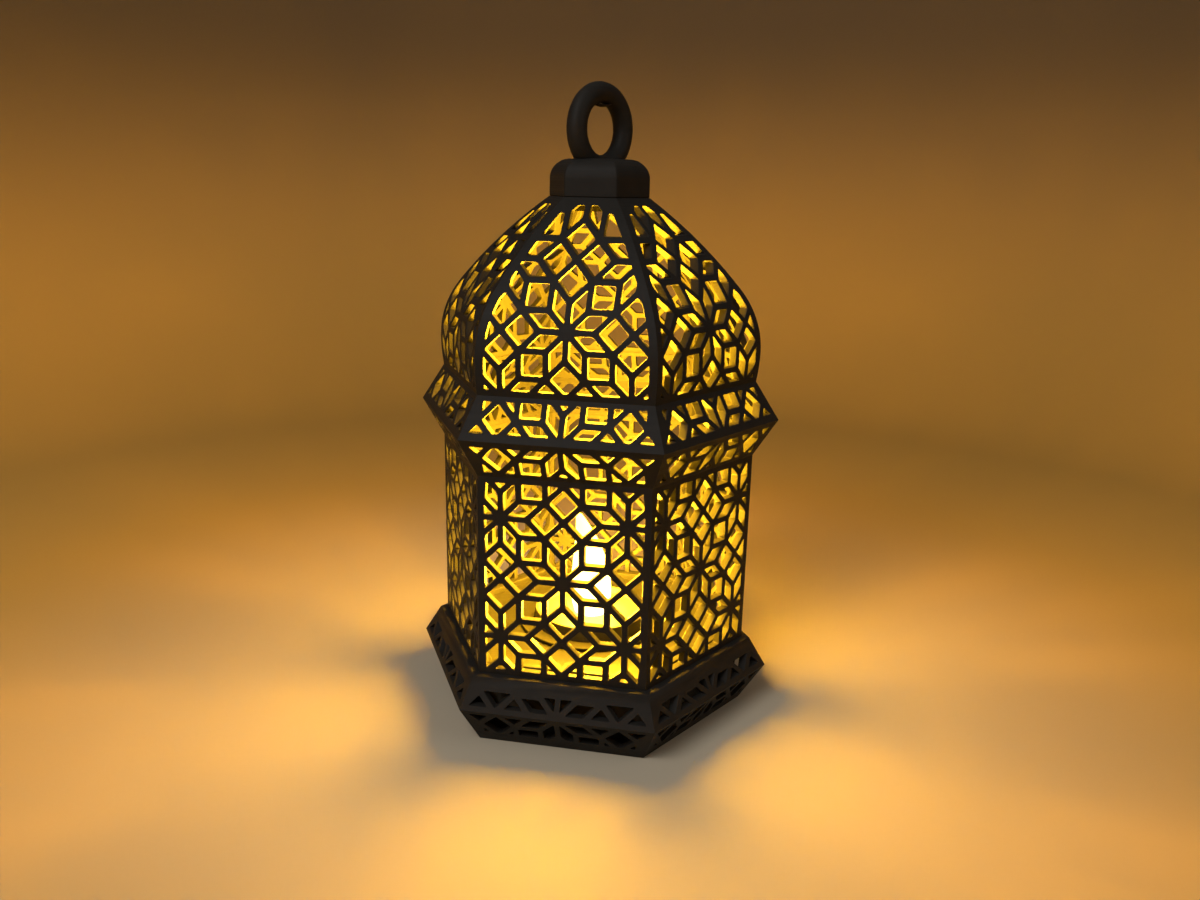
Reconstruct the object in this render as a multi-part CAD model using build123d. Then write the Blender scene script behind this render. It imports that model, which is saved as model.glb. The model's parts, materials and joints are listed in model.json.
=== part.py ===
from build123d import *
import os
from math import asin, atan2, ceil, cos, degrees, hypot, pi, sin, sqrt, tan

# A six-sided lattice lantern, in millimetres: a hollow base, a cage that lifts off it and a battery tea light.
# +Z is up, the origin is on the table under the centre, and two corners of the hexagon lie on the X axis.
# The radius of a hexagon is measured to its corners.

# Walls
SIDES = 6
WALL = 2.4                 # lattice panels, square to their faces
FOOT_THICKNESS = 3.0
DECK_THICKNESS = 3.0

# Lattice of squares and rhombi around eight-pointed stars
TILE = 7.6                 # edge of a square or a rhombus
BAR = 1.7                  # bar between two openings
EDGE_LIP = 0.45            # left beside a mitre, on a flat panel's inner face
RIB_LIP = 0.8              # the same on a dome panel
SMALLEST_OPENING = 1.2     # area under which an opening is left closed

# Base
BASE_LOWER_HEIGHT = 12.8   # table to ridge
BASE_UPPER_HEIGHT = 9.2    # ridge to ledge
BASE_OVERHANG = 8.1        # ridge beyond the cage's corner
LEDGE = 2.4                # ledge beyond the cage's corner
FOOT_RING_WIDTH = 9.0
BASE_RIDGE_BORDER = 1.4
BASE_END_BORDER = 0.8

# Cage
BODY_RADIUS = 50.0
BODY_HEIGHT = 61.1
BODY_BORDER = 1.7
BAND_OVERHANG = 7.2        # belt ridge beyond the cage's corner
BAND_LOWER_HEIGHT = 11.6
BAND_UPPER_HEIGHT = 11.5
BAND_RIDGE_BORDER = 2.0
BAND_END_BORDER = 1.4
SPIGOT_HEIGHT = 2.0        # rib on the deck that centres the cage
SPIGOT_WALL = 2.0
SPIGOT_GAP = 0.3

# Dome
DOME_SETBACK = 0.3         # dome's foot inside the cage's corner
DOME_HEIGHT = 53.2
DOME_FOOT_BORDER = 1.7
DOME_NECK_BORDER = 2.2
BELLY_SWELL = 0.7          # widest point beyond the dome's foot, across the flats
BELLY_RISE = 9.3           # widest point above the dome's foot
SHOULDER_ARC = 30.5
CROWN_ARC = 140.0
NECK_RADIUS = 15.3
DOME_WINDOW_STEPS = 10

# Cap and ring
CAP_SIDE = 5.3             # upright part of its sides
CAP_ROUND = 5.6
CAP_PLUG_DEPTH = 4.0
CAP_PLUG_GAP = 0.3
RING_RADIUS = 10.3         # centre line
RING_TUBE = 3.0            # radius of the tube
RING_RISE = 8.4            # ring's centre above the cap
RING_PEG_RADIUS = 2.0
RING_PEG_DEPTH = 6.0
RING_PEG_GAP = 0.1

# Tea light pocket
POCKET_DEPTH = 12.0        # deck to the pocket's floor
POCKET_WALL = 1.6
POCKET_FLOOR = 2.0
POCKET_GAP = 0.3           # round the tea light
POCKET_SEAT_WIDTH = 2.5    # floor left round the finger hole
POCKET_FLANGE = 3.0
POCKET_FLANGE_THICKNESS = 1.2
POCKET_FIT = 0.15          # pocket in the deck's hole

# Tea light cup and chassis
TEALIGHT_HEIGHT = 17.5
CUP_CLEAR = 0.9            # between the cup and the switch at the end of its travel
TEALIGHT_WALL = 1.2
DISH_DEPTH = 1.6
DISH_RIM = 1.2
DISH_SLOPE = 1.3
RIM_ROUND = 0.5
CHASSIS_THICKNESS = 2.0
CHASSIS_GAP = 0.1

# Coin cell and its box
CELL_RADIUS = 10.0
CELL_THICKNESS = 3.2
CELL_STEP = 0.9            # negative can inside the rim
CELL_STEP_HEIGHT = 0.4
CELL_GAP = 0.4
CELL_LIFT = 0.2            # cell above the closed door
BOX_WALL = 1.2
BOX_CORNER = 2.0
BOX_HEADROOM = 1.2
CONTACT_THICKNESS = 0.3
CONTACT_WIDTH = 4.0
CONTACT_PLAY = 0.05
CONTACT_REACH = 4.6        # strip beyond the cell, towards the switch
CONTACT_NOTCH_GAP = 0.2

# Battery door
DOOR_THICKNESS = 1.6
DOOR_GAP = 0.2
DOOR_PIN_RADIUS = 0.5
DOOR_PIN_LENGTH = 1.0
DOOR_PIN_PLAY = 0.05
DOOR_NOTCH_WIDTH = 6.0     # for a fingernail
DOOR_NOTCH_DEPTH = 1.4

# Slide switch
SWITCH_TRAVEL = 2.5
KNOB_LENGTH = 2.5
KNOB_WIDTH = 1.8
KNOB_DROP = 1.2            # knob below the chassis
SWITCH_GAP = 0.3
SWITCH_LIP = 0.6           # slider beyond its slot's edge
SLIDER_THICKNESS = 2.4
SLIDER_PLAY = 0.1
SWITCH_CLEAR = 0.6         # between the slider and the cell box

# Light-emitting diode and flame lens
LED_RADIUS = 2.5
LED_HEIGHT = 8.6
LED_FLANGE = 0.4
LED_FLANGE_THICKNESS = 1.0
LEG_SPACING = 2.54
LEG_THICKNESS = 0.5
LEG_END_GAP = 0.1
POST_WALL = 1.3
POST_BORE_GAP = 0.4
FLAME_RADIUS = 6.6
FLAME_FOOT_RADIUS = 5.4
FLAME_BELLY = 7.0          # widest point above the dish
FLAME_HEIGHT = 33.5
FLAME_TIP_RADIUS = 1.0
FLAME_LEAN = 4.5           # tip to one side
FLAME_LEAN_SIDE = 131.0    # degrees from +X towards +Y
FLAME_SECTIONS = 12
STEM_RADIUS = 4.2
STEM_LENGTH = 2.4
STEM_GAP = 0.15
LED_POCKET_GAP = 0.25
LED_SEAT_GAP = 0.5

# Levels and radii that follow
HALF_TURN = pi / SIDES
TURN = 360 / SIDES
STAR_PITCH = TILE * (1 + sqrt(2))
FOOT_RADIUS = BODY_RADIUS
BASE_RIDGE_RADIUS = BODY_RADIUS + BASE_OVERHANG
LEDGE_RADIUS = BODY_RADIUS + LEDGE
BASE_HEIGHT = BASE_LOWER_HEIGHT + BASE_UPPER_HEIGHT
BODY_TOP = BASE_HEIGHT + BODY_HEIGHT
BAND_RIDGE = BODY_TOP + BAND_LOWER_HEIGHT
BAND_RIDGE_RADIUS = BODY_RADIUS + BAND_OVERHANG
DOME_FOOT = BAND_RIDGE + BAND_UPPER_HEIGHT
DOME_RADIUS = BODY_RADIUS - DOME_SETBACK
NECK = DOME_FOOT + DOME_HEIGHT
CAP_TOP = NECK + CAP_SIDE + CAP_ROUND
REACH = 2 * BASE_RIDGE_RADIUS

BOX_HALF = CELL_RADIUS + CELL_GAP
SLOT_WIDTH = KNOB_WIDTH + 2 * SWITCH_GAP
SLOT_LENGTH = KNOB_LENGTH + SWITCH_TRAVEL + 2 * SWITCH_GAP
SLIDER_WIDTH = SLOT_WIDTH + 2 * SWITCH_LIP
SLIDER_LENGTH = KNOB_LENGTH + 2 * SWITCH_LIP
SWITCH_Y = BOX_HALF + BOX_WALL + SWITCH_CLEAR + SLIDER_WIDTH / 2
SWITCH_REACH = hypot(SLIDER_LENGTH / 2 + SWITCH_TRAVEL, SWITCH_Y + SLIDER_WIDTH / 2)
TEALIGHT_RADIUS = SWITCH_REACH + CUP_CLEAR + TEALIGHT_WALL
POCKET_BORE = TEALIGHT_RADIUS + POCKET_GAP
POCKET_RADIUS = POCKET_BORE + POCKET_WALL
FINGER_HOLE = POCKET_BORE - POCKET_SEAT_WIDTH
TEALIGHT_FOOT = BASE_HEIGHT - POCKET_DEPTH
TEALIGHT_TOP = TEALIGHT_FOOT + TEALIGHT_HEIGHT
DISH = TEALIGHT_TOP - DISH_DEPTH
CHASSIS_RADIUS = TEALIGHT_RADIUS - TEALIGHT_WALL - CHASSIS_GAP
CHASSIS_TOP = TEALIGHT_FOOT + CHASSIS_THICKNESS
CELL_FOOT = TEALIGHT_FOOT + DOOR_THICKNESS + CELL_LIFT
CELL_TOP = CELL_FOOT + CELL_THICKNESS
BOX_CEILING = CELL_TOP + BOX_HEADROOM
BOX_TOP = BOX_CEILING + BOX_WALL
STRIP_FACE = CELL_RADIUS + CONTACT_PLAY
STRIP_TAB = CELL_TOP - CONTACT_THICKNESS
DOOR_HALF = BOX_HALF - DOOR_GAP
DOOR_BARREL = DOOR_THICKNESS / 2
DOOR_AXIS_Y = DOOR_BARREL - DOOR_HALF
DOOR_AXIS_Z = TEALIGHT_FOOT + DOOR_BARREL
STEM_FOOT = DISH - STEM_LENGTH
LED_FOOT = STEM_FOOT - LED_SEAT_GAP
LEG_OFFSET = LEG_SPACING / 2
POST_BORE = LEG_OFFSET + LEG_THICKNESS + POST_BORE_GAP

# A panel is drawn facing -Y: its section on SECTION (outwards, up) and its openings on FRONT (across, up).
SECTION = Plane(origin=(0, 0, 0), x_dir=(0, -1, 0), z_dir=(-1, 0, 0))
FRONT = Plane.XZ


def flat_radius(corner_radius):
    """Distance from the axis to the middle of a hexagon's side."""
    return corner_radius * cos(HALF_TURN)


def hexagon(corner_radius, height):
    return Plane.XY.offset(height) * RegularPolygon(corner_radius, SIDES)


def hexagon_plate(low_radius, low, high_radius, high):
    """A six-sided plate whose edge slopes from one radius to another."""
    return loft([hexagon(low_radius, low), hexagon(high_radius, high)], ruled=True)


def disc(radius, low, high):
    return extrude(Plane.XY.offset(low) * Circle(radius), high - low)


def block(width, depth, low, high, x=0.0, y=0.0):
    """A level box centred on x and y."""
    return extrude(Plane.XY.offset(low) * Pos(x, y) * Rectangle(width, depth), high - low)


# Lattice
def tile_edge(eighth):
    """One edge of the tiling, turned by a number of eighths of a turn."""
    return Vector(TILE * cos(eighth * pi / 4), TILE * sin(eighth * pi / 4))


def tile_opening(corner, first, second):
    """The opening in the square or rhombus between two edges from a corner, half a bar inside it."""
    along = tile_edge(first)
    across = tile_edge(second)
    centre = corner + (along + across) * 0.5
    shrink = 1 - BAR / (TILE * sin((second - first) * pi / 4))
    outline = [corner, corner + along, corner + along + across, corner + across]
    return [centre + (point - centre) * shrink for point in outline]


def star_openings(star):
    """Eight rhombi round a star, two squares on its diagonals and four squares beside it."""
    rhombi = [tile_opening(star, k, k + 1) for k in range(8)]
    diagonal = [tile_opening(star + tile_edge(1), 0, 2), tile_opening(star + tile_edge(3), 2, 4)]
    beside = [tile_opening(star + Vector(STAR_PITCH, 0), k, k + 2) for k in (1, 3, 5, 7)]
    return rhombi + diagonal + beside


def clipped(outline, window):
    """The part of an opening inside a convex window, whose points run counter-clockwise."""
    for start, end in zip(window, window[1:] + window[:1]):
        side = end - start
        depths = [side.X * (p.Y - start.Y) - side.Y * (p.X - start.X) for p in outline]
        kept = []
        for k, point in enumerate(outline):
            if depths[k] >= 0:
                kept.append(point)
            after = (k + 1) % len(outline)
            if depths[k] * depths[after] < 0:
                share = depths[k] / (depths[k] - depths[after])
                kept.append(point + (outline[after] - point) * share)
        outline = kept
    return outline


def area(outline):
    pairs = zip(outline, outline[1:] + outline[:1])
    return sum(a.X * b.Y - a.Y * b.X for a, b in pairs) / 2


def lattice_prisms(window, star_height):
    """Level prisms through every opening of the lattice inside a window."""
    reach = max(max(abs(p.X), abs(p.Y - star_height)) for p in window)
    count = ceil(reach / STAR_PITCH) + 1
    steps = range(-count, count + 1)
    stars = [Vector((i + j) * STAR_PITCH, star_height + (i - j) * STAR_PITCH) for i in steps for j in steps]
    openings = [clipped(outline, window) for star in stars for outline in star_openings(star)]
    outlines = [outline for outline in openings if area(outline) > SMALLEST_OPENING]
    return [extrude(FRONT * make_face(Polyline(*outline, close=True)), REACH) for outline in outlines]


def lattice_panel(section, half_width, low, high, steps, star_height):
    """A panel mitred to its neighbours, cut through by the lattice between two heights."""
    wedge_half = REACH * tan(HALF_TURN)
    wedge = extrude(Polygon((0, 0), (-wedge_half, -REACH), (wedge_half, -REACH), align=None), CAP_TOP)
    plate = extrude(SECTION * section, REACH, both=True) & wedge
    heights = [low + (high - low) * k / steps for k in range(steps + 1)]
    right = [Vector(half_width(z), z) for z in heights]
    left = [Vector(-half_width(z), z) for z in reversed(heights)]
    return plate - lattice_prisms(right + left, star_height)


def flat_panel(low_radius, low, high_radius, high, low_border, high_border, star_height):
    """A flat panel between two hexagons, upright or sloping."""
    foot = flat_radius(low_radius)
    head = flat_radius(high_radius)
    depth = WALL * hypot(head - foot, high - low) / (high - low)
    corners = [(foot, low), (head, high), (head - depth, high), (foot - depth, low)]

    def half_width(z):
        inner = foot + (head - foot) * (z - low) / (high - low) - depth
        return inner * tan(HALF_TURN) - EDGE_LIP

    section = make_face(Polyline(*corners, close=True))
    return lattice_panel(section, half_width, low + low_border, high - high_border, 1, star_height)


# Dome: three arcs tangent to each other, from its foot through the belly and the shoulder to the neck
DOME_FLAT = flat_radius(DOME_RADIUS)
NECK_FLAT = flat_radius(NECK_RADIUS)
BELLY_FLAT = DOME_FLAT + BELLY_SWELL
BELLY = DOME_FOOT + BELLY_RISE
FOOT_ARC = (BELLY_SWELL ** 2 + BELLY_RISE ** 2) / (2 * BELLY_SWELL)
FOOT_CENTRE = Vector(BELLY_FLAT - FOOT_ARC, BELLY)
SHOULDER_CENTRE = Vector(BELLY_FLAT - SHOULDER_ARC, BELLY)


def crown_centre():
    """Centre of the arc that passes through the neck and is tangent to the shoulder."""
    span = Vector(NECK_FLAT, NECK) - SHOULDER_CENTRE
    near = CROWN_ARC - SHOULDER_ARC
    along = (span.length ** 2 + near ** 2 - CROWN_ARC ** 2) / (2 * span.length)
    aside = sqrt(near ** 2 - along ** 2)
    ahead = span.normalized()
    return SHOULDER_CENTRE + ahead * along + Vector(-ahead.Y, ahead.X) * aside


CROWN_CENTRE = crown_centre()
SHOULDER_TURN = atan2(SHOULDER_CENTRE.Y - CROWN_CENTRE.Y, SHOULDER_CENTRE.X - CROWN_CENTRE.X)


def dome_radius(z, inset):
    """Distance from the axis to the middle of a dome panel, a depth inside its outer face."""
    centre, radius = CROWN_CENTRE, CROWN_ARC - inset
    if z < BELLY:
        centre, radius = FOOT_CENTRE, FOOT_ARC - inset
    elif z < SHOULDER_CENTRE.Y + (SHOULDER_ARC - inset) * sin(SHOULDER_TURN):
        centre, radius = SHOULDER_CENTRE, SHOULDER_ARC - inset
    return centre.X + sqrt(radius ** 2 - (z - centre.Y) ** 2)


def dome_curve(inset):
    """The dome's line from foot to neck, a depth inside its outer face."""
    foot_turn = degrees(asin(BELLY_RISE / (FOOT_ARC - inset)))
    neck_turn = degrees(asin((NECK - CROWN_CENTRE.Y) / (CROWN_ARC - inset)))
    shoulder_turn = degrees(SHOULDER_TURN)
    foot = CenterArc(FOOT_CENTRE, FOOT_ARC - inset, -foot_turn, foot_turn)
    shoulder = CenterArc(SHOULDER_CENTRE, SHOULDER_ARC - inset, 0, shoulder_turn)
    crown = CenterArc(CROWN_CENTRE, CROWN_ARC - inset, shoulder_turn, neck_turn - shoulder_turn)
    return [foot, shoulder, crown]


def dome_panel():
    outer = dome_curve(0)
    inner = dome_curve(WALL)
    sill = Line(outer[0] @ 0, inner[0] @ 0)
    head = Line(outer[-1] @ 1, inner[-1] @ 1)

    def half_width(z):
        return dome_radius(z, WALL) * tan(HALF_TURN) - RIB_LIP

    section = make_face(outer + inner + [sill, head])
    low = DOME_FOOT + DOME_FOOT_BORDER
    high = NECK - DOME_NECK_BORDER
    return lattice_panel(section, half_width, low, high, DOME_WINDOW_STEPS, DOME_FOOT + STAR_PITCH)


# Base
def base_radius(height):
    """Corner radius of the base's outside at a height."""
    if height < BASE_LOWER_HEIGHT:
        return FOOT_RADIUS + (BASE_RIDGE_RADIUS - FOOT_RADIUS) * height / BASE_LOWER_HEIGHT
    rise = (height - BASE_LOWER_HEIGHT) / BASE_UPPER_HEIGHT
    return BASE_RIDGE_RADIUS + (LEDGE_RADIUS - BASE_RIDGE_RADIUS) * rise


def foot_ring():
    plate = hexagon_plate(FOOT_RADIUS, 0, base_radius(FOOT_THICKNESS), FOOT_THICKNESS)
    opening = extrude(hexagon(FOOT_RADIUS - FOOT_RING_WIDTH, 0), FOOT_THICKNESS)
    return plate - opening


def base_lower_panel():
    low = FOOT_THICKNESS
    high = BASE_LOWER_HEIGHT
    borders = (BASE_END_BORDER, BASE_RIDGE_BORDER)
    return flat_panel(base_radius(low), low, BASE_RIDGE_RADIUS, high, *borders, BASE_LOWER_HEIGHT)


def base_upper_panel():
    low = BASE_LOWER_HEIGHT
    high = BASE_HEIGHT - DECK_THICKNESS
    borders = (BASE_RIDGE_BORDER, BASE_END_BORDER)
    return flat_panel(BASE_RIDGE_RADIUS, low, base_radius(high), high, *borders, BASE_LOWER_HEIGHT)


def base_deck():
    low = BASE_HEIGHT - DECK_THICKNESS
    plate = hexagon_plate(base_radius(low), low, LEDGE_RADIUS, BASE_HEIGHT)
    spigot_flat = flat_radius(BODY_RADIUS) - WALL - SPIGOT_GAP
    spigot_radius = spigot_flat / cos(HALF_TURN)
    spigot_inner = (spigot_flat - SPIGOT_WALL) / cos(HALF_TURN)
    spigot = extrude(hexagon(spigot_radius, BASE_HEIGHT) - hexagon(spigot_inner, BASE_HEIGHT), SPIGOT_HEIGHT)
    return plate + spigot - disc(POCKET_RADIUS + POCKET_FIT, low, BASE_HEIGHT)


def tealight_pocket():
    foot = TEALIGHT_FOOT - POCKET_FLOOR
    rim = BASE_HEIGHT + POCKET_FLANGE_THICKNESS
    cup = disc(POCKET_RADIUS, foot, rim) + disc(POCKET_RADIUS + POCKET_FLANGE, BASE_HEIGHT, rim)
    return cup - disc(POCKET_BORE, TEALIGHT_FOOT, rim) - disc(FINGER_HOLE, foot, TEALIGHT_FOOT)


# Cage
def body_panel():
    star = BASE_HEIGHT + BODY_HEIGHT / 2
    return flat_panel(BODY_RADIUS, BASE_HEIGHT, BODY_RADIUS, BODY_TOP, BODY_BORDER, BODY_BORDER, star)


def band_lower_panel():
    borders = (BAND_END_BORDER, BAND_RIDGE_BORDER)
    return flat_panel(BODY_RADIUS, BODY_TOP, BAND_RIDGE_RADIUS, BAND_RIDGE, *borders, BAND_RIDGE)


def band_upper_panel():
    borders = (BAND_RIDGE_BORDER, BAND_END_BORDER)
    return flat_panel(BAND_RIDGE_RADIUS, BAND_RIDGE, DOME_RADIUS, DOME_FOOT, *borders, BAND_RIDGE)


def ring_peg(radius):
    """The peg under the ring, or the hole for it."""
    return disc(radius, CAP_TOP - RING_PEG_DEPTH, CAP_TOP)


def top_cap():
    prism = extrude(hexagon(NECK_RADIUS, NECK), CAP_TOP - NECK)
    rounding = min(CAP_ROUND, NECK_FLAT - RING_TUBE)
    head = fillet(prism.faces().sort_by(Axis.Z)[-1].edges(), rounding)
    plug = disc(dome_radius(NECK, WALL) - CAP_PLUG_GAP, NECK - CAP_PLUG_DEPTH, NECK)
    return head + plug - ring_peg(RING_PEG_RADIUS + RING_PEG_GAP)


def hanging_ring():
    ring = Pos(0, 0, CAP_TOP + RING_RISE) * Torus(RING_RADIUS, RING_TUBE, rotation=(90, 0, 0))
    above = block(REACH, REACH, CAP_TOP, CAP_TOP + REACH)
    return (ring & above) + ring_peg(RING_PEG_RADIUS)


# Tea light
def tealight_cup():
    inner = TEALIGHT_RADIUS - TEALIGHT_WALL
    dish_edge = TEALIGHT_RADIUS - DISH_RIM
    dish_floor = dish_edge - DISH_SLOPE
    hole = STEM_RADIUS + STEM_GAP
    ceiling = DISH - TEALIGHT_WALL
    outline = [
        (TEALIGHT_RADIUS, TEALIGHT_FOOT),
        (TEALIGHT_RADIUS, TEALIGHT_TOP),
        (dish_edge, TEALIGHT_TOP),
        (dish_floor, DISH),
        (hole, DISH),
        (hole, ceiling),
        (inner, ceiling),
        (inner, TEALIGHT_FOOT),
    ]
    cup = revolve(Plane.XZ * make_face(Polyline(*outline, close=True)), Axis.Z)
    rim = [edge for edge in cup.edges().filter_by(GeomType.CIRCLE) if edge.center().Z > TEALIGHT_TOP - RIM_ROUND]
    return fillet(rim, min(RIM_ROUND, DISH_RIM / 3))


def door_pins(radius, length):
    """The two pins of the battery door, or the holes that they turn in."""
    axis = Plane(origin=(0, DOOR_AXIS_Y, DOOR_AXIS_Z), z_dir=(1, 0, 0))
    return extrude(axis * Circle(radius), length, both=True)


def tealight_chassis():
    foot = TEALIGHT_FOOT
    plate = disc(CHASSIS_RADIUS, foot, CHASSIS_TOP)
    box_width = 2 * (BOX_HALF + BOX_WALL)
    walls = block(box_width, box_width, CHASSIS_TOP, BOX_TOP)
    walls = fillet(walls.edges().filter_by(Axis.Z), BOX_CORNER)
    post = disc(POST_BORE + POST_WALL, BOX_TOP, LED_FOOT)
    bay = block(2 * BOX_HALF, 2 * BOX_HALF, foot, BOX_CEILING)
    bore = disc(POST_BORE, BOX_CEILING, LED_FOOT)
    slot = block(SLOT_LENGTH, SLOT_WIDTH, foot, CHASSIS_TOP, SWITCH_TRAVEL / 2, SWITCH_Y)
    notch_low = STRIP_TAB - CONTACT_NOTCH_GAP
    notch_high = CELL_TOP + CONTACT_NOTCH_GAP
    notch = block(CONTACT_WIDTH + 2 * CONTACT_NOTCH_GAP, BOX_WALL, notch_low, notch_high, 0, BOX_HALF + BOX_WALL / 2)
    pin_holes = door_pins(DOOR_PIN_RADIUS + DOOR_PIN_PLAY, DOOR_HALF + DOOR_PIN_LENGTH + DOOR_GAP)
    return plate + walls + post - bay - bore - slot - notch - pin_holes


def battery_door():
    panel = block(2 * DOOR_HALF, DOOR_HALF - DOOR_AXIS_Y, TEALIGHT_FOOT, TEALIGHT_FOOT + DOOR_THICKNESS,
                  0, (DOOR_HALF + DOOR_AXIS_Y) / 2)
    barrel = door_pins(DOOR_BARREL, DOOR_HALF)
    pins = door_pins(DOOR_PIN_RADIUS, DOOR_HALF + DOOR_PIN_LENGTH)
    notch = block(DOOR_NOTCH_WIDTH, DOOR_NOTCH_DEPTH, TEALIGHT_FOOT, TEALIGHT_FOOT + DOOR_THICKNESS / 2,
                  0, DOOR_HALF - DOOR_NOTCH_DEPTH / 2)
    return panel + barrel + pins - notch


def switch_slider():
    foot = TEALIGHT_FOOT - KNOB_DROP
    seat = CHASSIS_TOP + SLIDER_PLAY
    knob = block(KNOB_LENGTH, KNOB_WIDTH, foot, seat, 0, SWITCH_Y)
    slider = block(SLIDER_LENGTH, SLIDER_WIDTH, seat, seat + SLIDER_THICKNESS, 0, SWITCH_Y)
    return knob + slider


def coin_cell():
    shoulder = CELL_TOP - CELL_STEP_HEIGHT
    return disc(CELL_RADIUS, CELL_FOOT, shoulder) + disc(CELL_RADIUS - CELL_STEP, shoulder, CELL_TOP)


def spring_contact():
    """A leaf under the cell box's roof, bent down to press on the cell."""
    top = BOX_CEILING - CONTACT_PLAY
    tip = CELL_TOP + CONTACT_PLAY + CONTACT_THICKNESS
    quarter = CELL_RADIUS / 4
    upper = [(-3 * quarter, top), (-quarter, top), (quarter, tip), (2 * quarter, tip)]
    lower = [(x, z - CONTACT_THICKNESS) for x, z in reversed(upper)]
    leaf = make_face(Polyline(*upper, *lower, close=True))
    return extrude(FRONT * leaf, CONTACT_WIDTH / 2, both=True)


def strip_contact():
    """A strip up the side of the cell, with a tab out to the switch."""
    low = CELL_FOOT + CONTACT_THICKNESS
    side = block(CONTACT_WIDTH, CONTACT_THICKNESS, low, CELL_TOP, 0, STRIP_FACE + CONTACT_THICKNESS / 2)
    tab = block(CONTACT_WIDTH, CONTACT_REACH, STRIP_TAB, CELL_TOP, 0, STRIP_FACE + CONTACT_REACH / 2)
    return side + tab


def led():
    top = LED_FOOT + LED_HEIGHT
    shoulder = top - LED_RADIUS
    body = disc(LED_RADIUS, LED_FOOT, shoulder) + Pos(0, 0, shoulder) * Sphere(LED_RADIUS)
    flange = disc(LED_RADIUS + LED_FLANGE, LED_FOOT, LED_FOOT + LED_FLANGE_THICKNESS)
    leg_end = BOX_CEILING + LEG_END_GAP
    legs = [block(LEG_THICKNESS, LEG_THICKNESS, leg_end, LED_FOOT, side * LEG_OFFSET) for side in (-1, 1)]
    return body + flange + legs


def flame_radius(height):
    """Radius of the flame lens above the dish: a bulge, then a taper to the tip."""
    if height < FLAME_BELLY:
        rise = 1 - height / FLAME_BELLY
        return FLAME_RADIUS - (FLAME_RADIUS - FLAME_FOOT_RADIUS) * rise ** 2
    rise = (height - FLAME_BELLY) / (FLAME_HEIGHT - FLAME_BELLY)
    return FLAME_TIP_RADIUS + (FLAME_RADIUS - FLAME_TIP_RADIUS) * cos(rise * pi / 2)


def flame_lens():
    heights = [FLAME_HEIGHT * k / (FLAME_SECTIONS - 1) for k in range(FLAME_SECTIONS)]
    sections = []
    for height in heights:
        lean = Rot(0, 0, FLAME_LEAN_SIDE) * Pos(FLAME_LEAN * (height / FLAME_HEIGHT) ** 3, 0)
        sections.append(Plane.XY.offset(DISH + height) * lean * Circle(flame_radius(height)))
    stem = disc(STEM_RADIUS, STEM_FOOT, DISH)
    led_room = LED_FOOT + LED_HEIGHT + LED_POCKET_GAP
    return loft(sections) + stem - disc(LED_RADIUS + LED_FLANGE + LED_POCKET_GAP, STEM_FOOT, led_room)


FACE_PANELS = {
    "base_lower_panel": base_lower_panel,
    "base_upper_panel": base_upper_panel,
    "body_panel": body_panel,
    "band_lower_panel": band_lower_panel,
    "band_upper_panel": band_upper_panel,
    "dome_panel": dome_panel,
}
SINGLE_PIECES = [
    foot_ring,
    base_deck,
    tealight_pocket,
    top_cap,
    hanging_ring,
    tealight_cup,
    tealight_chassis,
    battery_door,
    switch_slider,
    coin_cell,
    spring_contact,
    strip_contact,
    led,
    flame_lens,
]

os.makedirs("parts", exist_ok=True)
for name, make_panel in FACE_PANELS.items():
    panel = make_panel().solid()
    for face in range(SIDES):
        export_step(Rot(0, 0, face * TURN) * panel, f"parts/{name}_{face + 1}.step")
for make_piece in SINGLE_PIECES:
    export_step(make_piece().solid(), f"parts/{make_piece.__name__}.step")
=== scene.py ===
# %% [markdown]
# # A lattice lantern, lit by the tea light inside it
# The real lantern is printed in dark plastic: a hollow six-sided base, a lattice cage that lifts off it,
# and a battery tea light that drops into the base. The frame brings in every piece at its real size and
# place, so nothing here is fitted by eye.

# %% Load the frame
import json
import math

import bmesh
import bpy
import numpy as np
from mathutils import Matrix, Vector

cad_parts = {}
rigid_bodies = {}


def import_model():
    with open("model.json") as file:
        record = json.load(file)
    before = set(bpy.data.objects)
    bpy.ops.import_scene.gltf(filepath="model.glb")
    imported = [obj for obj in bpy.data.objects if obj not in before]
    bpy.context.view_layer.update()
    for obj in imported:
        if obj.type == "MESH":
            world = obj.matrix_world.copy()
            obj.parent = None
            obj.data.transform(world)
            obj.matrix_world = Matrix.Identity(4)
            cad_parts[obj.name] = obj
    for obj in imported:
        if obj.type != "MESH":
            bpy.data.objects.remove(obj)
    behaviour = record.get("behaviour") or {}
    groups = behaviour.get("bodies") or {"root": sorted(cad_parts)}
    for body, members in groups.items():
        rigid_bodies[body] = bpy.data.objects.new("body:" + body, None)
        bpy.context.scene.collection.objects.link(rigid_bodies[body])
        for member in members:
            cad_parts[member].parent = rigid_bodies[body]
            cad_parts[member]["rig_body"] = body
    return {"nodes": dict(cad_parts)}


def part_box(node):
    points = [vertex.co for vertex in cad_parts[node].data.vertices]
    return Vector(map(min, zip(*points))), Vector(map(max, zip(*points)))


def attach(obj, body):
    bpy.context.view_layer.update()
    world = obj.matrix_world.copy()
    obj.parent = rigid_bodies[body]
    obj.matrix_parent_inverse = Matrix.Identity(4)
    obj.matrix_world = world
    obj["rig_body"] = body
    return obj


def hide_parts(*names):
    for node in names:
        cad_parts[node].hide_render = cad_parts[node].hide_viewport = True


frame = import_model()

MM = 0.001
scene = bpy.context.scene
nodes = frame["nodes"]
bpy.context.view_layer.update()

# %% [markdown]
# ## Camera
# The camera stands where the photograph was taken from. Its place and lens were worked out from the
# lantern's corners in the picture, whose sides and heights are known, so the render can be laid over the
# photograph. The lens is wide and the lantern is close, which is why the base looks so much nearer than
# the ring.

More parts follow.
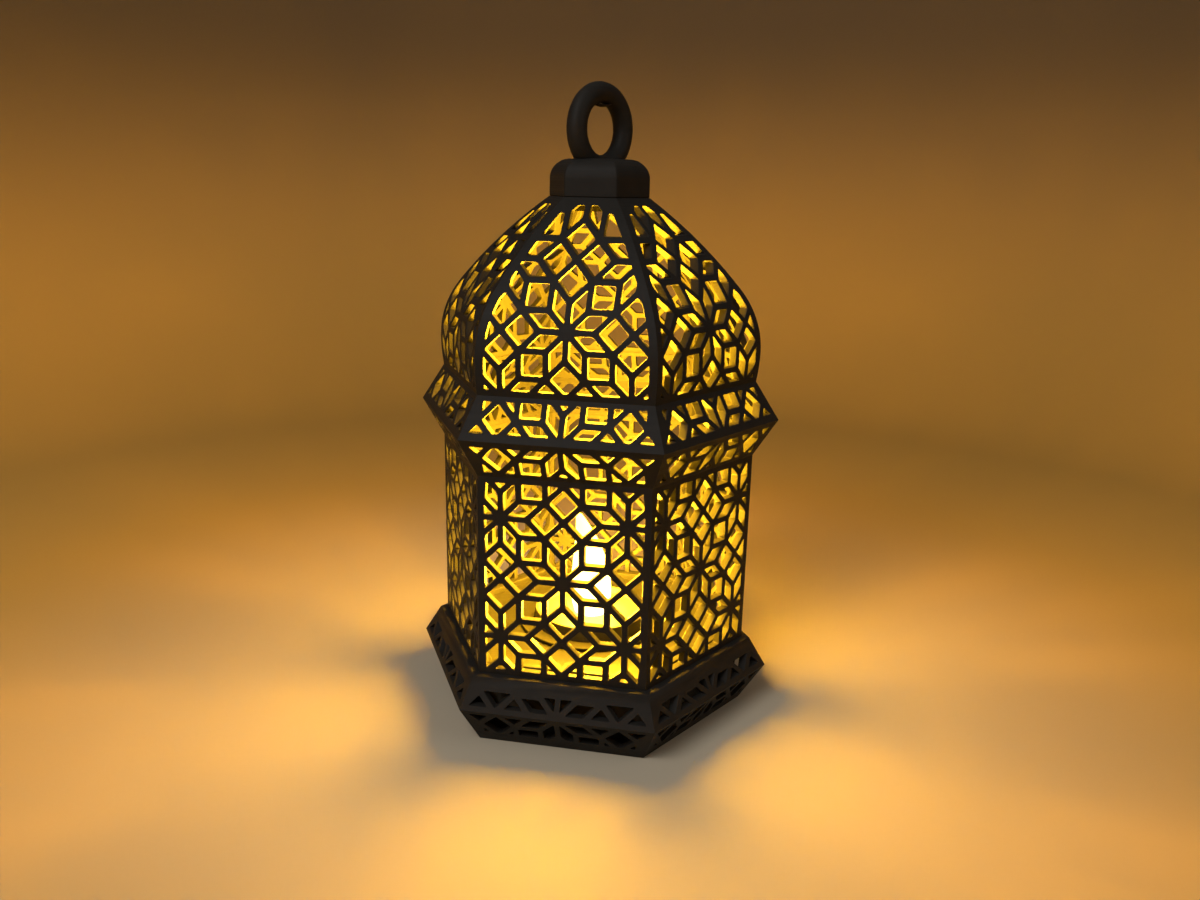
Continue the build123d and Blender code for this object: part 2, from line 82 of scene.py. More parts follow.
# %% Camera
PHOTO_WIDTH = 1200                      # pixels
FOCAL_LENGTH = 1005.9                   # pixels
SENSOR_WIDTH = 36.0                     # millimetres
EYE_DISTANCE = 309.9 * MM               # from the lantern's axis
EYE_HEIGHT = 164.6 * MM
EYE_SIDE = math.radians(-48.97)         # round the lantern, from the -Y side
EYE_PITCH = math.radians(15.08)         # downwards
EYE_YAW = math.radians(0.35)
EYE_ROLL = math.radians(1.23)
CLIP_START = 10 * MM


def photo_camera():
    forward = Vector((math.sin(EYE_YAW) * math.cos(EYE_PITCH), math.cos(EYE_YAW) * math.cos(EYE_PITCH),
                      -math.sin(EYE_PITCH)))
    level = Vector((math.cos(EYE_YAW), -math.sin(EYE_YAW), 0))
    up = level.cross(forward)
    across = level * math.cos(EYE_ROLL) + up * math.sin(EYE_ROLL)
    upright = up * math.cos(EYE_ROLL) - level * math.sin(EYE_ROLL)
    stand = Matrix((across, upright, -forward)).transposed().to_4x4()
    stand.translation = (0, -EYE_DISTANCE, EYE_HEIGHT)
    data = bpy.data.cameras.new("photo_camera")
    data.sensor_width = SENSOR_WIDTH
    data.lens = FOCAL_LENGTH * SENSOR_WIDTH / PHOTO_WIDTH
    data.clip_start = CLIP_START
    camera = bpy.data.objects.new("photo_camera", data)
    scene.collection.objects.link(camera)
    camera.matrix_world = Matrix.Rotation(EYE_SIDE, 4, "Z") @ stand
    return camera


scene.camera = photo_camera()
print("Camera at", [round(x / MM, 1) for x in scene.camera.matrix_world.translation], "mm")

# %% [markdown]
# ## Helpers for shader nodes
# Every finish below is drawn with nodes, so a few small helpers keep the wiring readable: one adds a node
# with its settings, some do a sum, a fade or a blend with it, and two start a node group with named
# sockets and place it in a material.

# %% Shader helpers
GROUP_SOCKETS = {"value": "NodeSocketFloat", "vector": "NodeSocketVector"}


def add_node(tree, kind, inputs=None, **settings):
    """A node with settings, whose inputs are numbers, colours or the sockets that feed them."""
    node = tree.nodes.new(kind)
    for name, value in settings.items():
        setattr(node, name, value)
    for name, value in (inputs or {}).items():
        if isinstance(value, bpy.types.NodeSocket):
            tree.links.new(value, node.inputs[name])
        else:
            node.inputs[name].default_value = value
    return node


def maths(tree, operation, *values):
    """The result of a Math node on up to three numbers or sockets."""
    return add_node(tree, "ShaderNodeMath", dict(enumerate(values)), operation=operation).outputs[0]


def remap(tree, value, low, high):
    """A value from 0 to 1, stretched between two numbers."""
    inputs = {"Value": value, "To Min": low, "To Max": high}
    return add_node(tree, "ShaderNodeMapRange", inputs).outputs["Result"]


def fade(tree, value, start, end):
    """A share that rises smoothly from 0 to 1 while a value goes from a start to an end."""
    inputs = {"Value": value, "From Min": start, "From Max": end}
    return add_node(tree, "ShaderNodeMapRange", inputs, interpolation_type="SMOOTHSTEP").outputs["Result"]


def blend_colours(tree, share, first, second):
    """A colour between two, by a share from 0 to 1."""
    mix = add_node(tree, "ShaderNodeMix", data_type="RGBA")
    tree.links.new(share, mix.inputs["Factor"])
    for socket, colour in ((mix.inputs[6], first), (mix.inputs[7], second)):
        if isinstance(colour, bpy.types.NodeSocket):
            tree.links.new(colour, socket)
        else:
            socket.default_value = colour
    return mix.outputs[2]


def start_group(name, inputs, outputs):
    """An empty node group, with its input and output nodes."""
    group = bpy.data.node_groups.new(name, "ShaderNodeTree")
    for socket, kind in inputs.items():
        group.interface.new_socket(socket, in_out="INPUT", socket_type=GROUP_SOCKETS[kind])
    for socket, kind in outputs.items():
        group.interface.new_socket(socket, in_out="OUTPUT", socket_type=GROUP_SOCKETS[kind])
    return group, group.nodes.new("NodeGroupInput").outputs, group.nodes.new("NodeGroupOutput").inputs


def use_group(tree, group, inputs):
    """A group placed in a material, with its own values."""
    return add_node(tree, "ShaderNodeGroup", inputs, node_tree=group).outputs


print("Shader helpers ready")

# %% [markdown]
# ## The lines of a print
# A printer lays the plastic down in level layers, so an upright wall is a stack of fine rounded ridges and
# a level top shows the nozzle's diagonal strokes. Real grooves would need millions of faces, so one node
# group works out the ridge from the height, or from the diagonal where a face looks up or down, and feeds
# a bump. It also gives each run of layers a slightly different sheen, as a print has where its walls
# cooled at another pace.

# %% Print lines group
DIAGONAL = math.sqrt(0.5)
LEVEL_FACE = 0.95           # how far a normal points up or down on a level face
RUN_SCALE = 0.11            # runs of like layers, per layer
EACH_SHARE = 0.35           # how much of the sheen a single layer has to itself


def ridge(tree, position, pitch):
    """A rounded ridge, from 0 in the groove to 1 on top, repeated at a pitch."""
    turns = maths(tree, "DIVIDE", position, pitch)
    swing = maths(tree, "MULTIPLY_ADD", maths(tree, "FRACT", turns), 2.0, -1.0)
    return maths(tree, "SUBTRACT", 1.0, maths(tree, "MULTIPLY", swing, swing)), turns


def print_lines_group():
    inputs = {"Position": "vector", "Normal": "vector", "Layer": "value", "Stroke": "value"}
    group, given, result = start_group("print_lines", inputs, {"Ridge": "value", "Sheen": "value"})
    place = add_node(group, "ShaderNodeSeparateXYZ", {0: given["Position"]}).outputs
    facing = add_node(group, "ShaderNodeSeparateXYZ", {0: given["Normal"]}).outputs
    wall, layers = ridge(group, place["Z"], given["Layer"])
    diagonal = maths(group, "MULTIPLY", maths(group, "ADD", place["X"], place["Y"]), DIAGONAL)
    top, strokes = ridge(group, diagonal, given["Stroke"])
    level = maths(group, "GREATER_THAN", maths(group, "ABSOLUTE", facing["Z"]), LEVEL_FACE)
    lines = add_node(group, "ShaderNodeMix", {0: level, 2: wall, 3: top}, data_type="FLOAT")
    number = add_node(group, "ShaderNodeMix", {0: level, 2: layers, 3: strokes}, data_type="FLOAT")
    each = add_node(group, "ShaderNodeTexWhiteNoise", {"W": maths(group, "FLOOR", number.outputs[0])},
                    noise_dimensions="1D")
    runs = add_node(group, "ShaderNodeTexNoise", {"W": layers, "Scale": RUN_SCALE, "Detail": 2.0},
                    noise_dimensions="1D")
    shared = maths(group, "MULTIPLY", runs.outputs[0], 1 - EACH_SHARE)
    sheen = maths(group, "MULTIPLY_ADD", each.outputs["Value"], EACH_SHARE, shared)
    group.links.new(lines.outputs[0], result["Ridge"])
    group.links.new(sheen, result["Sheen"])
    return group


print_lines = print_lines_group()
print("Group", print_lines.name, "has", len(print_lines.nodes), "nodes")

# %% [markdown]
# ## Mottle and dust
# No moulded or printed plastic is one even colour: it is cloudy over a few millimetres and grainy over a
# few tenths. Dust settles on whatever faces up. Both are masks that several finishes share, so each is a
# group of its own.

# %% Mottle and dust groups
DUST_FROM = 0.25            # how far a normal points up where dust begins to lie
DUST_FULL = 1.0


def mottle_group():
    inputs = {"Position": "vector", "Cloud Scale": "value", "Grain Scale": "value"}
    group, given, result = start_group("plastic_mottle", inputs, {"Mottle": "value", "Grain": "value"})
    cloud = add_node(group, "ShaderNodeTexNoise", {"Vector": given["Position"], "Scale": given["Cloud Scale"],
                                                   "Detail": 3.0, "Roughness": 0.55})
    grain = add_node(group, "ShaderNodeTexNoise", {"Vector": given["Position"], "Scale": given["Grain Scale"],
                                                   "Detail": 1.0})
    group.links.new(cloud.outputs[0], result["Mottle"])
    group.links.new(grain.outputs[0], result["Grain"])
    return group


def dust_group():
    inputs = {"Position": "vector", "Normal": "vector", "Amount": "value"}
    group, given, result = start_group("settled_dust", inputs, {"Mask": "value"})
    facing = add_node(group, "ShaderNodeSeparateXYZ", {0: given["Normal"]}).outputs
    upward = fade(group, facing["Z"], DUST_FROM, DUST_FULL)
    specks = add_node(group, "ShaderNodeTexNoise", {"Vector": given["Position"], "Scale": 420.0,
                                                    "Detail": 4.0, "Roughness": 0.7})
    patchy = maths(group, "MULTIPLY", upward, specks.outputs[0])
    group.links.new(maths(group, "MULTIPLY", patchy, given["Amount"]), result["Mask"])
    return group


plastic_mottle = mottle_group()
settled_dust = dust_group()
print("Groups", plastic_mottle.name, "and", settled_dust.name, "ready")

# %% [markdown]
# ## Dark printed plastic
# The whole lantern is printed in one near-black plastic. In the photograph only its lit inner faces show
# a colour, and that is the light's: the plastic itself is a charcoal, barely warm, with a satin face. A
# mix of two close charcoals follows the mottle, a little grey dust lies on top, and the print lines drive
# both the bump and the sheen.

# %% Printed plastic
LAYER_HEIGHT = 0.2 * MM
STROKE_WIDTH = 0.45 * MM
RIDGE_DEPTH = 0.016 * MM
GRAIN_DEPTH = 0.02 * MM
SATIN = 0.12                 # specular level
PRINT_ROUGHNESS = (0.44, 0.66)
CHARCOAL_DEEP = (0.0108, 0.0100, 0.0088, 1)
CHARCOAL_PALE = (0.0190, 0.0174, 0.0150, 1)
DUST_GREY = (0.11, 0.10, 0.09, 1)


def new_material(name):
    """A material with an empty Principled shader, its tree and the surface's own coordinates."""
    material = bpy.data.materials.new(name)
    material.use_nodes = True
    tree = material.node_tree
    shader = tree.nodes["Principled BSDF"]
    surface = tree.nodes.new("ShaderNodeTexCoord").outputs
    return material, tree, shader, surface


def bump(tree, height, depth, below=None):
    """A bump of a depth in metres, on top of another one if that is given."""
    inputs = {"Height": height, "Distance": depth, "Strength": 1.0}
    if below is not None:
        inputs["Normal"] = below
    return add_node(tree, "ShaderNodeBump", inputs).outputs["Normal"]


def printed_plastic(name):
    material, tree, shader, surface = new_material(name)
    place = surface["Object"]
    facing = surface["Normal"]
    lines = use_group(tree, print_lines, {"Position": place, "Normal": facing, "Layer": LAYER_HEIGHT,
                                          "Stroke": STROKE_WIDTH})
    mottle = use_group(tree, plastic_mottle, {"Position": place, "Cloud Scale": 160.0, "Grain Scale": 2600.0})
    dust = use_group(tree, settled_dust, {"Position": place, "Normal": facing, "Amount": 0.10})
    plastic = blend_colours(tree, mottle["Mottle"], CHARCOAL_DEEP, CHARCOAL_PALE)
    tree.links.new(blend_colours(tree, dust["Mask"], plastic, DUST_GREY), shader.inputs["Base Color"])
    shader.inputs["Specular IOR Level"].default_value = SATIN
    tree.links.new(remap(tree, lines["Sheen"], *PRINT_ROUGHNESS), shader.inputs["Roughness"])
    grainy = bump(tree, mottle["Grain"], GRAIN_DEPTH)
    tree.links.new(bump(tree, lines["Ridge"], RIDGE_DEPTH, grainy), shader.inputs["Normal"])
    return material


dark_print = printed_plastic("dark_print")
print("Material", dark_print.name, "layers of", LAYER_HEIGHT / MM, "mm")

# %% [markdown]
# ## Printed edges on the lattice panels
# A nozzle can't print a razor edge: the rims of the openings are slightly rounded and so are their
# corners. The frame's panels are exact, and their faces are fans of triangles that meet at every corner,
# where a bevel has no room. So each panel gets a copy that is laid flat, stripped to its seams and the
# outlines of its openings, and closed again with rounded ones. The mitres and level seams stay sharp, so
# that neighbouring panels close up as the single wall of the real print.

# %% Tools for printed copies
MERGE = 0.001 * MM
SMOOTH_ANGLE = math.radians(50)
SEAM = "seam"


def merged_copy(node):
    """A node's mesh with its loose triangles joined."""
    work = bmesh.new()
    work.from_mesh(nodes[node].data)
    bmesh.ops.remove_doubles(work, verts=work.verts, dist=MERGE)
    return work


def mark_seams(work, on_seam):
    """Marks the points on seams, which stay sharp."""
    seam = work.verts.layers.int.get(SEAM) or work.verts.layers.int.new(SEAM)
    for vertex in work.verts:
        vertex[seam] = on_seam(vertex.co)


def off_seam(work, edges):
    """The edges that don't lie on a seam."""
    seam = work.verts.layers.int[SEAM]
    return [edge for edge in edges if not any(vertex[seam] for vertex in edge.verts)]


def made_of(geometry, kind):
    """The points, edges or faces in what an operator made."""
    return [item for item in geometry if isinstance(item, kind)]


def shade(work):
    """Smooth shading, broken along the seams and at sharp angles."""
    seam = work.verts.layers.int[SEAM]
    work.normal_update()
    for face in work.faces:
        face.smooth = True
    for edge in work.edges:
        on_seam = all(vertex[seam] for vertex in edge.verts)
        edge.smooth = not on_seam and edge.calc_face_angle(0) < SMOOTH_ANGLE


def printed_piece(work, node, turn=0.0):
    """A finished copy, turned about the axis, as the piece that stands for a node."""
    shade(work)
    mesh = bpy.data.meshes.new(f"{node}_printed")
    work.to_mesh(mesh)
    mesh.attributes.remove(mesh.attributes[SEAM])
    mesh.transform(Matrix.Rotation(turn, 4, "Z"))
    mesh.materials.append(dark_print)
    piece = bpy.data.objects.new(mesh.name, mesh)
    scene.collection.objects.link(piece)
    piece.modifiers.new("flat_faces", "WEIGHTED_NORMAL").keep_sharp = True
    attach(piece, nodes[node]["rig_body"])
    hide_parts(node)
    return piece


print("Copies of the frame's pieces are merged at", MERGE / MM, "mm")

# %% [markdown]
# ## A panel laid flat
# Every opening runs level through its wall, so a panel can be pressed flat without changing what shows
# from the front: outer points go to one plane and inner points to another. That makes the sloping panels
# and the curved dome the same job. The wall's two curves are read from the panel's own points, and bend
# the finished slab back.

# %% Lay flat and bend back
SIDES = 6
TURN = 2 * math.pi / SIDES
SLAB = 2.4 * MM              # thickness of a panel laid flat
OUTWARD = -0.05              # normal along Y, past which a face is on the outside
ON_SEAM = 0.04 * MM          # closer than this to a seam or a plane counts as on it


def panel_seams(node):
    """The test for a point on the mitres or the level seams of a panel that faces -Y."""
    low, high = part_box(node)
    slope = math.tan(TURN / 2)

    def on_seam(point):
        on_mitre = abs(abs(point.x) - abs(point.y) * slope) < ON_SEAM
        return on_mitre or point.z < low.z + ON_SEAM or point.z > high.z - ON_SEAM

    return on_seam


def curve_of(points):
    """Heights and distances from the axis of a set of points, in order of height."""
    ordered = sorted((p.z, -p.y) for p in points)
    return [z for z, _ in ordered], [radius for _, radius in ordered]


def lay_flat(work):
    """Moves outer points to y = 0 and inner points to y = SLAB, and gives back the wall's two curves."""
    work.normal_update()
    outer = {v for v in work.verts if any(face.normal.y < OUTWARD for face in v.link_faces)}
    curves = curve_of([v.co for v in outer]), curve_of([v.co for v in work.verts if v not in outer])
    for vertex in work.verts:
        vertex.co.y = 0.0 if vertex in outer else SLAB
    work.normal_update()
    return curves


def bend(work, curves):
    """Moves a flat slab's points back on to the wall."""
    for vertex in work.verts:
        outside, inside = (np.interp(vertex.co.z, *curve) for curve in curves)
        vertex.co.y = -outside + (outside - inside) * vertex.co.y / SLAB


print("Panels are worked on as slabs of", SLAB / MM, "mm")

# %% [markdown]
# ## Openings with rounded corners
# With its front, back and inner walls taken away, a panel is a frame of seams with the outlines of its
# openings. Each outline is extruded through the slab, which gives clean four-sided walls, and now a bevel
# has room on the edges between them. Sides that are shorter than a printed thread are merged into one
# corner first.

# %% Openings
SKIN = 0.95                  # normal along Y, past which a face is the slab's front or back
STRAIGHT = math.radians(3)
LEAST_SIDE = 0.45 * MM
CORNER_REACH = 0.42 * MM     # from a corner to the start of its arc
CORNER_ROOM = 0.95 * MM      # sides shorter than this keep sharp corners
CORNER_STEPS = 3


def outlines(work):
    """Strips a flat panel to its seams, and gives back the outlines of its openings on the front."""
    seam = work.verts.layers.int[SEAM]
    front = {face for face in work.faces if face.normal.y < -SKIN}
    borders = [edge for edge in work.edges if len(front.intersection(edge.link_faces)) == 1]
    rims = set(off_seam(work, borders))
    inner = [face for face in work.faces
             if abs(face.normal.y) > SKIN or not all(v[seam] for v in face.verts)]
    bmesh.ops.delete(work, geom=inner, context="FACES_ONLY")
    strays = [edge for edge in work.edges if edge.is_wire and edge not in rims]
    bmesh.ops.delete(work, geom=strays, context="EDGES")
    bmesh.ops.dissolve_limit(work, angle_limit=STRAIGHT, verts=[v for v in work.verts if v.is_wire],
                             edges=[edge for edge in work.edges if edge.is_wire])
    bmesh.ops.remove_doubles(work, verts=[v for v in work.verts if v.is_wire], dist=LEAST_SIDE)
    return [edge for edge in work.edges if edge.is_wire]


def pierce(work, wires):
    """Extrudes the outlines through the slab, rounds their corners and says how many."""
    made = bmesh.ops.extrude_edge_only(work, edges=wires)["geom"]
    for vertex in made_of(made, bmesh.types.BMVert):
        vertex.co.y = SLAB
    walls = made_of(made, bmesh.types.BMFace)
    bmesh.ops.recalc_face_normals(work, faces=walls)
    corners = {edge for wall in walls for edge in wall.edges if len(edge.link_faces) == 2}
    sides = {edge: [side for v in edge.verts for side in v.link_edges if side is not edge]
             for edge in corners}
    roomy = [edge for edge in sides if all(side.calc_length() > CORNER_ROOM for side in sides[edge])]
    bmesh.ops.bevel(work, geom=roomy, offset=CORNER_REACH, offset_type="OFFSET", affect="EDGES",
                    segments=CORNER_STEPS, profile=0.5, material=-1, clamp_overlap=True)
    return len(roomy)


print("Corners of the openings are rounded over", CORNER_REACH / MM, "mm")

# %% [markdown]
# ## Rims and skins
# A rim could be bevelled too, but the skin beside it would have to be whole first, and its triangles
# would be in the way again. Instead the rim is extruded in small steps over a quarter circle, outwards
# along the wall's normal, and the skin is filled in last, between the turned rims and the seams.

# %% Rims and skins
RIM_ROUND = 0.2 * MM
RIM_STEPS = 2
WIDEST = 1.5                 # most that a ring may be stretched at a tight corner
FLAT_ANGLE = math.radians(0.5)


def open_edges(work, side):
    """The open edges on one plane of the slab."""
    return [edge for edge in work.edges if edge.is_boundary and
            all(abs(vertex.co.y - side) < ON_SEAM for vertex in edge.verts)]


def turn_over(work, side, inward):
    """Turns the rims on one plane over a quarter circle."""
    rims = off_seam(work, open_edges(work, side))
    work.normal_update()
    ring = {v: v.normal * min(v.calc_shell_factor(), WIDEST) * RIM_ROUND for edge in rims for v in edge.verts}
    for vertex in ring:
        vertex.co.y += inward * RIM_ROUND
    columns = {vertex: (vertex.co.copy(), away) for vertex, away in ring.items()}
    for step in range(1, RIM_STEPS + 1):
        angle = math.pi / 2 * step / RIM_STEPS
        made = bmesh.ops.extrude_edge_only(work, edges=rims)["geom"]
        rims = [edge for edge in made_of(made, bmesh.types.BMEdge) if edge.is_boundary]
        below, columns = columns, {}
        for vertex in made_of(made, bmesh.types.BMVert):
            neighbours = [edge.other_vert(vertex) for edge in vertex.link_edges]
            start, away = columns[vertex] = next(below[other] for other in neighbours if other in below)
            vertex.co = start + away * (1 - math.cos(angle))
            vertex.co.y = start.y - inward * RIM_ROUND * math.sin(angle)


def close_slab(work):
    """Rounds the rims and fills the front and the back."""
    for side, inward in ((0.0, 1), (SLAB, -1)):
        turn_over(work, side, inward)
        bmesh.ops.triangle_fill(work, use_beauty=True, edges=open_edges(work, side), normal=(0, -inward, 0))
    bmesh.ops.recalc_face_normals(work, faces=work.faces)
    bmesh.ops.dissolve_limit(work, angle_limit=FLAT_ANGLE, verts=[], edges=work.edges)


print("Rims are rounded over", RIM_ROUND / MM, "mm in", RIM_STEPS, "steps")

# %% [markdown]
# ## All the panels
# One panel of each kind is made, and turned on to the six sides. A dome panel is also cut at many levels
# before it is bent, because a face can only follow a curve where it has points.

# %% Panels
PANELS = ["base_lower_panel", "base_upper_panel", "body_panel", "band_lower_panel", "band_upper_panel",
          "dome_panel"]
CURVED = "dome_panel"
BEND_STEP = 1.3 * MM         # height between two cuts
CUT_SNAP = 0.05 * MM         # points nearer to a cut than this are taken as on it


def cut_levels(work, node):
    low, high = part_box(node)
    for cut in np.arange(low.z + BEND_STEP, high.z, BEND_STEP):
        bmesh.ops.bisect_plane(work, geom=work.verts[:] + work.edges[:] + work.faces[:], dist=CUT_SNAP,
                               plane_co=(0, 0, cut), plane_no=(0, 0, 1))


def six_panels(kind):
    first = f"{kind}_1"
    on_seam = panel_seams(first)
    work = merged_copy(first)
    mark_seams(work, on_seam)
    curves = lay_flat(work)
    rounded = pierce(work, outlines(work))
    close_slab(work)
    if kind == CURVED:
        cut_levels(work, first)
    bend(work, curves)
    mark_seams(work, on_seam)
    gaps = sum(not edge.is_manifold for edge in work.edges)
    for side in range(SIDES):
        printed_piece(work, f"{kind}_{side + 1}", side * TURN)
    print(f"{kind}: 6 pieces of {len(work.faces)} faces, {rounded} rounded corners, {gaps} open edges")
    work.free()


for kind in PANELS:
    six_panels(kind)

# %% [markdown]
# ## Foot, deck, pocket and cap
# These carry no lattice, but a print's edges are never sharp: the first layers spread a little at the
# foot, and a nozzle rounds the ledge and the cap's corners. The same copy serves here, with a plain bevel
# and another test for the seams. Where a piece meets the wall of a neighbour flush, its edge stays sharp,
# or a groove would open.

# %% Plain printed pieces
EDGE_ROUND = 0.35 * MM
CORNER_ROUND = 0.8 * MM      # the cap's upright corners
EDGE_STEPS = 3
SHARP_ANGLE = math.radians(30)


def plain_print(node, on_seam, width):
    work = merged_copy(node)
    bmesh.ops.dissolve_limit(work, angle_limit=FLAT_ANGLE, verts=work.verts, edges=work.edges)
    mark_seams(work, on_seam)
    outer = [edge for edge in off_seam(work, work.edges) if edge.calc_face_angle_signed(0) > SHARP_ANGLE]
    bmesh.ops.bevel(work, geom=outer, offset=width, offset_type="OFFSET", affect="EDGES",
                    segments=EDGE_STEPS, profile=0.5, material=-1, clamp_overlap=True)
    piece = printed_piece(work, node)
    print(f"{node}: {len(outer)} edges rounded, {len(piece.data.polygons)} faces")
    work.free()


foot_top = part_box("foot_ring")[1].z
deck_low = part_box("base_deck")[0].z
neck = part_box("dome_panel_1")[1].z
plain_print("foot_ring", lambda point: point.z > foot_top - ON_SEAM, EDGE_ROUND)
plain_print("base_deck", lambda point: point.z < deck_low + ON_SEAM, EDGE_ROUND)
plain_print("tealight_pocket", lambda point: False, EDGE_ROUND)
plain_print("top_cap", lambda point: point.z < neck - ON_SEAM, CORNER_ROUND)
nodes["hanging_ring"].material_slots[0].material = dark_print

# %% [markdown]
# ## Sagging strands in the ring
# The ring was printed upright, so the top of its hole was laid over thin air: the first threads across it
# sagged, which is why the hole looks flattened and ragged at the top in the photograph. A displaced torus
# would be smooth there, so each thread is its own small tube: a circle spun along a shallow hanging arc,
# with its ends in the ring. A sine wave makes no two neighbours alike.

# %% Ring strands
STRANDS = 7
STRAND_RADIUS = 0.22 * MM
STRAND_SPREAD = 2.6 * MM     # from the first strand to the last, along the ring's axis
STRAND_CHORD = 5.6 * MM
STRAND_SAG = 0.35 * MM
STRAND_DROP = 0.45 * MM      # ends below the top of the hole
STRAND_SIDES = 8
STRAND_STEPS = 10
SAG_UNEVEN = 0.3             # shares by which strands differ
CHORD_UNEVEN = 0.12
WAVE_STEP = 2.4              # radians from one strand to the next
WAVE_START = 0.6


def strand(work, along, chord, sag, ends):
    """A thread across the hole, hanging from two ends at a height."""
    radius = chord ** 2 / (8 * sag) + sag / 2
    middle = Vector((0, along, ends + radius - sag))
    half_angle = math.asin(chord / 2 / radius)
    start = Matrix.Translation((0, along, middle.z - radius)) @ Matrix.Rotation(math.pi / 2, 4, "Y")
    circle = bmesh.ops.create_circle(work, cap_ends=True, segments=STRAND_SIDES, radius=STRAND_RADIUS,
                                     matrix=start)["verts"]
    bmesh.ops.rotate(work, verts=circle, cent=middle, matrix=Matrix.Rotation(half_angle, 3, "Y"))
    face = circle[0].link_faces[0]
    bmesh.ops.spin(work, geom=[face, *face.edges, *face.verts], cent=middle, axis=(0, 1, 0),
                   angle=-2 * half_angle, steps=STRAND_STEPS)


def ring_strands():
    low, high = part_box("hanging_ring")
    tube = high.y - low.y
    hole_top = high.z - tube
    work = bmesh.new()
    for number in range(STRANDS):
        wave = math.sin(WAVE_STEP * number + WAVE_START)
        along = STRAND_SPREAD * (number / (STRANDS - 1) - 0.5)
        tube_rise = along ** 2 / tube
        strand(work, along, STRAND_CHORD * (1 + CHORD_UNEVEN * wave), STRAND_SAG * (1 + SAG_UNEVEN * wave),
               hole_top - STRAND_DROP + tube_rise)
    bmesh.ops.remove_doubles(work, verts=work.verts, dist=MERGE)
    bmesh.ops.recalc_face_normals(work, faces=work.faces)
    mesh = bpy.data.meshes.new("ring_strands")
    work.to_mesh(mesh)
    work.free()
    mesh.shade_smooth()
    mesh.materials.append(dark_print)
    piece = bpy.data.objects.new("ring_strands", mesh)
    scene.collection.objects.link(piece)
    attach(piece, "cage")
    return piece


print("Ring strands:", len(ring_strands().data.polygons), "faces")

# %% [markdown]
# ## Moulded plastic
# The tea light is moulded, not printed: no layer lines, but the fine spark-eroded texture of its mould, a
# cloudy sheen where the plastic cooled unevenly, and fine scuffs from being slid in and out of the pocket.
# Scuffs are a mask of their own, long thin noise stretched up and down, so that the cup's and the switch's
# plastic can share them.

# %% Scuffs group and moulded plastic
SCUFF_FROM = 0.56            # noise values between which a scuff begins and is full
SCUFF_FULL = 0.72
SCUFF_STRETCH = (2600.0, 2600.0, 240.0)
SCUFF_ROUGHNESS = 0.2        # added to the plastic's own
MOULD_ROUGHNESS = (0.34, 0.46)
MOULD_DEPTH = 0.03 * MM
CUP_DEEP = (0.022, 0.021, 0.020, 1)
CUP_PALE = (0.034, 0.032, 0.030, 1)
CUP_SCUFFED = (0.07, 0.066, 0.06, 1)
SWITCH_DEEP = (0.24, 0.24, 0.23, 1)
SWITCH_PALE = (0.31, 0.31, 0.30, 1)
SWITCH_SCUFFED = (0.42, 0.42, 0.41, 1)


def scuffs_group():
    inputs = {"Position": "vector", "Stretch": "vector", "Amount": "value"}
    group, given, result = start_group("fine_scuffs", inputs, {"Mask": "value"})
    drawn_out = add_node(group, "ShaderNodeVectorMath", {0: given["Position"], 1: given["Stretch"]},
                         operation="MULTIPLY").outputs[0]
    lines = add_node(group, "ShaderNodeTexNoise", {"Vector": drawn_out, "Scale": 1.0, "Detail": 3.0})
    thin = fade(group, lines.outputs[0], SCUFF_FROM, SCUFF_FULL)
    group.links.new(maths(group, "MULTIPLY", thin, given["Amount"]), result["Mask"])
    return group


fine_scuffs = scuffs_group()


def moulded_plastic(name, deep, pale, scuffed):
    material, tree, shader, surface = new_material(name)
    place = surface["Object"]
    mottle = use_group(tree, plastic_mottle, {"Position": place, "Cloud Scale": 220.0, "Grain Scale": 3400.0})
    scuffs = use_group(tree, fine_scuffs, {"Position": place, "Stretch": SCUFF_STRETCH, "Amount": 0.6})
    dust = use_group(tree, settled_dust, {"Position": place, "Normal": surface["Normal"], "Amount": 0.2})
    plastic = blend_colours(tree, mottle["Mottle"], deep, pale)
    worn = blend_colours(tree, scuffs["Mask"], plastic, scuffed)
    tree.links.new(blend_colours(tree, dust["Mask"], worn, DUST_GREY), shader.inputs["Base Color"])
    gloss = remap(tree, mottle["Mottle"], *MOULD_ROUGHNESS)
    tree.links.new(maths(tree, "MULTIPLY_ADD", scuffs["Mask"], SCUFF_ROUGHNESS, gloss),
                   shader.inputs["Roughness"])
    tree.links.new(bump(tree, mottle["Grain"], MOULD_DEPTH), shader.inputs["Normal"])
    return material


dark_moulding = moulded_plastic("dark_moulding", CUP_DEEP, CUP_PALE, CUP_SCUFFED)
grey_moulding = moulded_plastic("grey_moulding", SWITCH_DEEP, SWITCH_PALE, SWITCH_SCUFFED)
for name in ("tealight_cup", "tealight_chassis", "battery_door"):
    nodes[name].material_slots[0].material = dark_moulding
nodes["switch_slider"].material_slots[0].material = grey_moulding
print("Moulded plastics:", dark_moulding.name, grey_moulding.name)

# %% [markdown]
# ## Nickel on the cell and its contacts
# A coin cell is turned bright, with fine rings round its middle, while its contacts are cut from rolled
# strip, with straight lines along it. Both are the same plated steel, so one group draws fine lines across
# any distance it is given: the distance from the cell's axis for rings, or one coordinate for straight
# lines.

# %% Brushed steel
LINE_DEPTH = 0.004 * MM
NICKEL_DEEP = (0.60, 0.58, 0.54, 1)
NICKEL_PALE = (0.76, 0.75, 0.72, 1)
NICKEL_ROUGHNESS = (0.22, 0.42)


def brushed_group():
    inputs = {"Across": "value", "Lines Per Metre": "value"}
    group, given, result = start_group("brushed_lines", inputs, {"Line": "value"})
    spread = maths(group, "MULTIPLY", given["Across"], given["Lines Per Metre"])
    lines = add_node(group, "ShaderNodeTexNoise", {"W": spread, "Scale": 1.0, "Detail": 4.0,
                                                   "Roughness": 0.7}, noise_dimensions="1D")
    group.links.new(lines.outputs[0], result["Line"])
    return group


